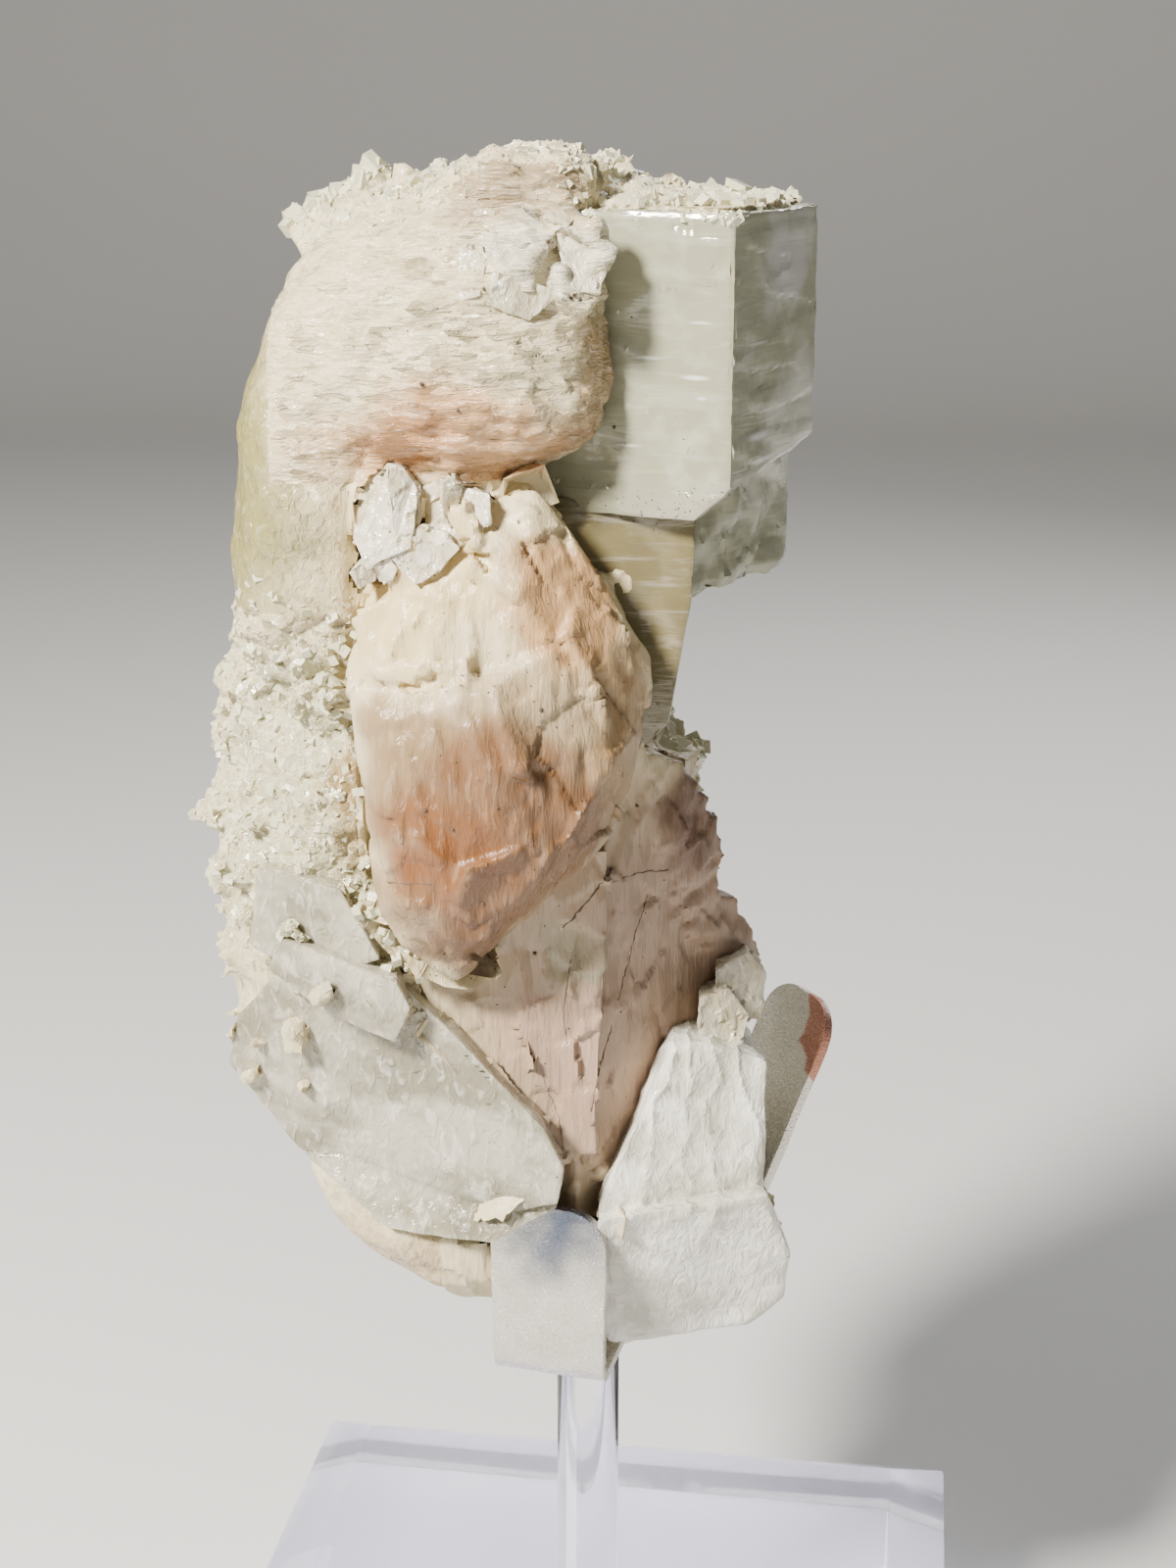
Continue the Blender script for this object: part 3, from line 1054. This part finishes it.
stoneStains = [  # at and reach in mm
    {"on": "smooth", "at": (-31, -2, 147), "reach": (11, 26, 22), "strength": 1.0, "colour": (0.27, 0.24, 0.09)},
    {"on": "smooth sugar", "at": (-27, -8, 115), "reach": (12, 30, 24), "strength": 0.85, "colour": (0.48, 0.45, 0.28)},
    {"on": "smooth sugar", "at": (-20.5, -12, 118), "reach": (4, 8, 8), "strength": 0.9, "colour": (0.26, 0.16, 0.05)},
    {"on": "smooth sugar", "at": (-19.2, -13, 121), "reach": (1.8, 5, 4.5), "strength": 0.8, "colour": (0.36, 0.22, 0.09)},
    {"on": "smooth loaf", "at": (-6, -8, 173), "reach": (15, 12, 6), "strength": 0.8, "colour": (0.35, 0.25, 0.15)},
    {"on": "loaf", "at": (-11, -14, 150.5), "reach": (17, 12, 6), "strength": 0.9, "colour": (0.58, 0.33, 0.16)},
    {"on": "loaf", "at": (-14.7, -15, 150), "reach": (5, 6, 3.6), "strength": 0.85, "colour": (0.54, 0.27, 0.12)},
    {"on": "loaf", "at": (1.4, -12, 156), "reach": (4, 8, 8), "strength": 0.85, "colour": (0.40, 0.27, 0.14)},
    {"on": "loaf", "at": (-1, -13, 150), "reach": (7, 6, 2.6), "strength": 0.8, "colour": (0.32, 0.20, 0.10)},
    {"on": "loaf", "at": (-4, -14.5, 166), "reach": (8, 6, 5), "strength": 0.6, "colour": (0.62, 0.60, 0.50)},
    {"on": "sheaf smooth", "at": (-15, -15, 139), "reach": (10, 8, 10), "strength": 0.8, "colour": (0.66, 0.51, 0.25)},
    {"on": "sheaf", "at": (-2, -15, 136), "reach": (8, 8, 10), "strength": 0.85, "colour": (0.42, 0.22, 0.085)},
    {"on": "sheaf", "at": (-8, -19, 118), "reach": (17, 11, 17), "strength": 0.95, "colour": (0.17, 0.074, 0.028)},
    {"on": "sheaf", "at": (-15, -18, 126.5), "reach": (7, 6, 6), "strength": 0.8, "colour": (0.26, 0.17, 0.085)},
    {"on": "sheaf", "at": (-13, -20, 117), "reach": (7, 6, 7), "strength": 0.85, "colour": (0.19, 0.07, 0.02)},
    {"on": "sheaf", "at": (-10, -19, 106.5), "reach": (7, 8, 6), "strength": 0.8, "colour": (0.125, 0.053, 0.018)},
    {"on": "sheaf", "at": (3, -14, 125), "reach": (6, 7, 11), "strength": 0.8, "colour": (0.33, 0.19, 0.075)},
    {"on": "fan smooth", "at": (4, -3, 97), "reach": (25, 26, 30), "strength": 1.0, "colour": (0.39, 0.265, 0.185)},
    {"on": "fan", "at": (-2, -12, 104), "reach": (4, 6, 5.5), "strength": 0.6, "colour": (0.33, 0.31, 0.20)},
    {"on": "fan", "at": (12, -3, 115), "reach": (8, 10, 8), "strength": 0.85, "colour": (0.13, 0.06, 0.036)},
    {"on": "smooth", "at": (-12, 0, 68), "reach": (26, 34, 13), "strength": 0.85, "colour": (0.48, 0.36, 0.20)},
    {"on": "smooth sugar fan", "at": (-5, 26, 115), "reach": (42, 15, 62), "strength": 0.5, "colour": (0.46, 0.38, 0.26)},
]
bodyLook = {"colour": (0.66, 0.57, 0.36), "rough": (0.14, 0.36)}
smoothLook = dict(bodyLook, facets={"grain": 0.7, "tilt": 0.4, "stretch": (1, 1, 1)},
                  fibre={"turn": (0, 0, 0), "density": (1.2, 1.2, 0.8), "wander": 0.6, "depth": 0.35, "tint": 0.12})
sugarBodyLook = dict(bodyLook, facets={"grain": 0.7, "tilt": 0.7, "stretch": (1, 1, 1)}, rough=(0.12, 0.3),
                     fibre={"turn": (0, 0, 0), "density": (1.6, 1.6, 1.6), "wander": 0.6, "depth": 0.3, "tint": 0.2})
loafLook = dict(bodyLook, facets={"grain": 0.7, "tilt": 0.75, "stretch": (0.5, 1, 1.3)}, rough=(0.1, 0.34),
                fibre={"turn": (0, 0.3, 0), "density": (0.35, 1.2, 2.0), "wander": 1.3, "depth": 0.4, "tint": 0.2})
sheafLook = dict(bodyLook, facets={"grain": 1.2, "tilt": 0.18, "stretch": (1, 1, 0.5)},
                 fibre={"turn": (0, -0.16, 0), "density": (1.6, 1.6, 0.3), "wander": 0.5, "depth": 0.2, "tint": 0.12},
                 lineColour=(0.76, 0.58, 0.40), rough=(0.26, 0.46))
fanLook = dict(sheafLook, facets={"grain": 1.0, "tilt": 0.2, "stretch": (1, 1, 0.4)},
               fibre={"turn": (0, 0.1, 0), "density": (1.3, 1.3, 0.2), "wander": 0.5, "depth": 0.25, "tint": 0.10},
               lineColour=(0.54, 0.40, 0.31))
sugarLook = {
    "colour": (0.64, 0.62, 0.45), "veilColour": (0.50, 0.47, 0.30), "veil": 0.7, "rough": (0.06, 0.2),
    "veilDensity": (0.12, 0.12, 0.12), "ior": 1.6,
    "facets": {"grain": 2.0, "tilt": 0.1, "stretch": (1, 1, 1)},
    "stains": [{"at": (-30, 10, 100), "reach": (16, 20, 10), "strength": 0.6, "colour": (0.70, 0.66, 0.44)},
               {"at": (-5, 26, 115), "reach": (42, 15, 62), "strength": 0.5, "colour": (0.55, 0.50, 0.42)}],
}
blockLook = {
    "colour": (0.40, 0.40, 0.28), "veilColour": (0.56, 0.56, 0.44), "veil": 0.8, "rough": (0.10, 0.2),
    "transmission": 0.25, "ior": 1.58,
    "facets": {"grain": 3.0, "tilt": 0.04, "stretch": (0.4, 0.4, 1.5)},
    "fibre": {"turn": (0, 0, 0), "density": (0.12, 0.12, 0.9), "wander": 0.6, "depth": 0.1, "tint": 0.12},
    "glints": (((9, -12, 155.8), (1.6, 3, 0.28), 0.9), ((9.6, -12.2, 154.1), (0.6, 2, 0.2), 0.7),
               ((5, -10.3, 157.3), (1.9, 3, 0.22), 0.6), ((3.4, -9.7, 149.8), (1.5, 3, 0.22), 0.6),
               ((9.4, -12.1, 160.4), (1.3, 3, 0.2), 0.5), ((14.9, -8, 150.4), (2.2, 4.4, 0.5), 1.0),
               ((15.3, -7, 148.2), (2.5, 5, 0.35), 0.9), ((14.6, -8.4, 158.3), (1.7, 3.4, 0.2), 0.5),
               ((15.5, -6.8, 152.4), (1.2, 2.4, 0.2), 0.6)),
    "stains": [{"at": (17, -2, 165), "reach": (5, 8, 7), "strength": 0.7, "colour": (0.74, 0.73, 0.74)},
               {"at": (18, 0, 150), "reach": (6, 10, 9), "strength": 0.8, "colour": (0.80, 0.79, 0.70)},
               {"at": (8, -11, 145.5), "reach": (8, 6, 2.5), "strength": 0.6, "colour": (0.44, 0.42, 0.33)}],
}
milkyLook = {
    "colour": (0.24, 0.22, 0.155), "veilColour": (0.46, 0.43, 0.34), "veil": 1.0, "rough": (0.10, 0.28),
    "veilDensity": (0.11, 0.11, 0.16), "veilCover": 0.62,
    "subsurface": 0.3, "radius": (1, 0.98, 0.86), "depth": 3.5,
    "facets": {"grain": 1.3, "tilt": 0.16, "stretch": (1, 1, 1)},
    "fibre": {"turn": (0, 0.5, 0), "density": (0.9, 0.9, 0.45), "wander": 0.9, "depth": 0.4, "tint": 0.45},
    "lineColour": (0.80, 0.78, 0.70),
}
ribbedLook = dict(milkyLook, colour=(0.56, 0.55, 0.46), veilColour=(0.86, 0.84, 0.76), subsurface=0.12)
plateLook = dict(milkyLook, colour=(0.54, 0.48, 0.33), veilColour=(0.68, 0.63, 0.51), subsurface=0.1,
                 rough=(0.05, 0.18), veilDensity=(0.3, 0.3, 0.3),
                 facets={"grain": 1.6, "tilt": 0.35, "stretch": (1, 1, 1)})
lowerLook = dict(blockLook, colour=(0.16, 0.135, 0.065), veilColour=(0.21, 0.18, 0.095), transmission=0.0, stains=[],
                 glints=[])


def metalMaterial():
    made, tree, shader = newMaterial("platedSheet")
    here = tree.nodes.new("ShaderNodeGroup")
    here.node_tree = placeGroup
    place = here.outputs["Place"]
    frost = addNode(tree, "ShaderNodeTexNoise", {"Vector": place, "Scale": 4.0, "Detail": 3.0, "Roughness": 0.7})
    cloud = addNode(tree, "ShaderNodeTexNoise", {"Vector": place, "Scale": 0.35, "Detail": 3.0})
    colour = mixColours(tree, cloud.outputs[0], (0.66, 0.63, 0.55, 1), (0.92, 0.89, 0.80, 1))
    for at, reach in (((24.5, 9, 86), (1.6, 9, 9)), ((-1.2, -12.5, 78.6), (1.8, 1.6, 1.6))):
        worn = useGroup(tree, spotGroup, {"Place": here.outputs["Warped"], "Centre": at, "Radius": reach,
                                          "Edge": 0.3, "Strength": 0.9}, "Mask")
        colour = mixColours(tree, worn, colour, (0.50, 0.20, 0.13, 1))
    blue = useGroup(tree, spotGroup, {"Place": here.outputs["Warped"], "Centre": (-3, -15, 78),
                                      "Radius": (9, 6, 10), "Edge": 0.8, "Strength": 0.95}, "Mask")
    colour = mixColours(tree, blue, colour, (0.10, 0.13, 0.20, 1))
    fill(tree, shader.inputs["Base Color"], colour)
    fill(tree, shader.inputs["Roughness"], mapRange(tree, frost.outputs[0], 0.35, 0.7, 0.16, 0.40, smooth=False))
    bump = addNode(tree, "ShaderNodeBump", {"Distance": 0.14 * mm, "Height": frost.outputs[0]})
    fill(tree, shader.inputs["Normal"], bump.outputs[0])
    shader.inputs["Metallic"].default_value = 1.0
    return made


def acrylicMaterial(name, tint, clearness):
    made, tree, shader = newMaterial(name)
    here = tree.nodes.new("ShaderNodeGroup")
    here.node_tree = placeGroup
    scuffs = useGroup(tree, fibreGroup, {"Place": here.outputs["Place"], "Density": (0.6, 0.6, 0.25)}, "Height")
    fill(tree, shader.inputs["Roughness"], mapRange(tree, scuffs, 0.4, 0.8, 0.01, 0.07, smooth=False))
    shader.inputs["Base Color"].default_value = tint + (1,)
    shader.inputs["IOR"].default_value = 1.49
    shader.inputs["Transmission Weight"].default_value = clearness
    return letShadowsThrough(tree, shader, tint, 0.9, made)


def dirtMaterial():
    made, tree, shader = newMaterial("darkDirt")
    tone = addNode(tree, "ShaderNodeTexNoise", {"Scale": 900.0, "Detail": 2.0})
    fill(tree, shader.inputs["Base Color"],
         mixColours(tree, tone.outputs[0], (0.05, 0.035, 0.02, 1), (0.14, 0.10, 0.06, 1)))
    shader.inputs["Roughness"].default_value = 0.7
    return made


# light reaches what lies behind clear stone or plastic
def letShadowsThrough(tree, shader, tint, share, made):
    ray = addNode(tree, "ShaderNodeLightPath")
    clear = addNode(tree, "ShaderNodeBsdfTransparent", {"Color": tint + (1,)})
    part = mathNode(tree, "MULTIPLY", ray.outputs["Is Shadow Ray"], share)
    both = addNode(tree, "ShaderNodeMixShader", {0: part, 1: shader.outputs[0], 2: clear.outputs[0]})
    tree.links.new(both.outputs[0], tree.nodes["Material Output"].inputs["Surface"])
    return made


looks = {
    "druse": mineral("sugarCrystals", sugarLook), "block": mineral("calciteBlock", blockLook),
    "lowerCalcite": mineral("calciteOlive", lowerLook), "milkyCalcite": mineral("calciteMilky", milkyLook),
    "plates": mineral("calcitePlates", plateLook), "claw": metalMaterial(),
    "dirt": dirtMaterial(), "rod": acrylicMaterial("clearRodAcrylic", (0.97, 0.97, 0.98), 1.0),
    "base": acrylicMaterial("clearBaseAcrylic", (0.70, 0.70, 0.78), 0.85),
}
looks["loafCrystals"] = looks["plates"]
looks["underBlock"] = looks["block"]
looks["ribbedCalcite"] = mineral("calciteRibbed", ribbedLook)
zones = {"smooth": smoothLook, "sugar": sugarBodyLook, "loaf": loafLook, "sheaf": sheafLook, "fan": fanLook}
for name, piece in pieces.items():
    piece.data.materials.clear()
    if name not in ("body", "sheaf", "fan"):
        piece.data.materials.append(looks[name])
for name, look in zones.items():
    look["stains"] = [stain for stain in stoneStains if name in stain["on"].split()]
    pieces["body"].data.materials.append(mineral(name + "Stone", look))
for name in ("sheaf", "fan"):
    pieces[name].data.materials.append(pieces["body"].data.materials[list(zones).index(name)])
names = list(zones)
centres = np.empty(len(pieces["body"].data.polygons) * 3)
pieces["body"].data.polygons.foreach_get("center", centres)
slots = [names.index(zoneOf(Vector(centre))) for centre in (centres.reshape(-1, 3) * 1000).tolist()]
pieces["body"].data.polygons.foreach_set("material_index", slots)
print("materials")


# ---- what each piece stands for

stands = {"claw": ("claw", "plated_metal"), "rod": ("rod", "clear_acrylic"), "base": ("base", "clear_acrylic")}
for name, piece in pieces.items():
    node, slot = stands.get(name, ("calcite_with_stilbite", "calcite"))
    piece.name = name + "Look"
    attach(piece, "root")
    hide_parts(node)


# ---- floor, light and camera

bm = bmesh.new()
bmesh.ops.create_grid(bm, x_segments=1, y_segments=60, size=1.0)
for vert in bm.verts:
    run = (vert.co.y + 1) / 2 * 3.1
    bend = max(0.0, min(run - 2.2, 0.63))
    rest = max(0.0, run - 2.2 - 0.63)
    angle = bend / 0.4
    vert.co = Vector((vert.co.x * 1.6, min(run, 2.2) - 1.2 + 0.4 * math.sin(angle),
                      0.4 * (1 - math.cos(angle)) + rest - 0.0002))
floor = smoothShade(toObject(bm, "floorSweep"), 60)
floorLook, floorTree, floorShader = newMaterial("paleFloor")
floorNoise = addNode(floorTree, "ShaderNodeTexNoise", {"Scale": 6.0, "Detail": 0.0})
fill(floorTree, floorShader.inputs["Base Color"],
     mixColours(floorTree, floorNoise.outputs[0], (0.72, 0.72, 0.71, 1), (0.76, 0.76, 0.75, 1)))
floorShader.inputs["Roughness"].default_value = 0.7
floorShader.inputs["Specular IOR Level"].default_value = 0.0
floor.data.materials.append(floorLook)
floor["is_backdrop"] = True


def areaLight(name, place, target, width, power, colour):
    lamp = bpy.data.lights.new(name, "AREA")
    lamp.shape = "DISK"
    lamp.size = width
    lamp.energy = power
    lamp.color = colour
    made = bpy.data.objects.new(name, lamp)
    made.location = place
    made.rotation_euler = (Vector(target) - Vector(place)).to_track_quat("-Z", "Y").to_euler()
    bpy.context.scene.collection.objects.link(made)


areaLight("keyLight", (-0.30, -0.30, 0.46), (-0.01, 0, 0.12), 0.10, 12.5, (1.0, 0.94, 0.85))
areaLight("rimLight", (0.25, 0.45, 0.45), (0, 0, 0.13), 0.3, 1.6, (1, 1, 1))
world = bpy.data.worlds.new("studio")
world.use_nodes = True
world.node_tree.nodes["Background"].inputs["Color"].default_value = (0.85, 0.84, 0.82, 1)
world.node_tree.nodes["Background"].inputs["Strength"].default_value = 0.2
bpy.context.scene.world = world

lens = bpy.data.cameras.new("photoCamera")
lens.lens = 51.75
lens.sensor_width = 36
lens.clip_start = 0.01
camera = bpy.data.objects.new("photoCamera", lens)
camera.location = cameraSpot * mm
camera.rotation_euler = (math.radians(90 - 17.4), 0, 0)
bpy.context.scene.collection.objects.link(camera)
bpy.context.scene.camera = camera

sizes = {"cad": [list(cadBounds[0]), list(cadBounds[1])], "visual": [list(b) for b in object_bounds()]}
print("scene built")
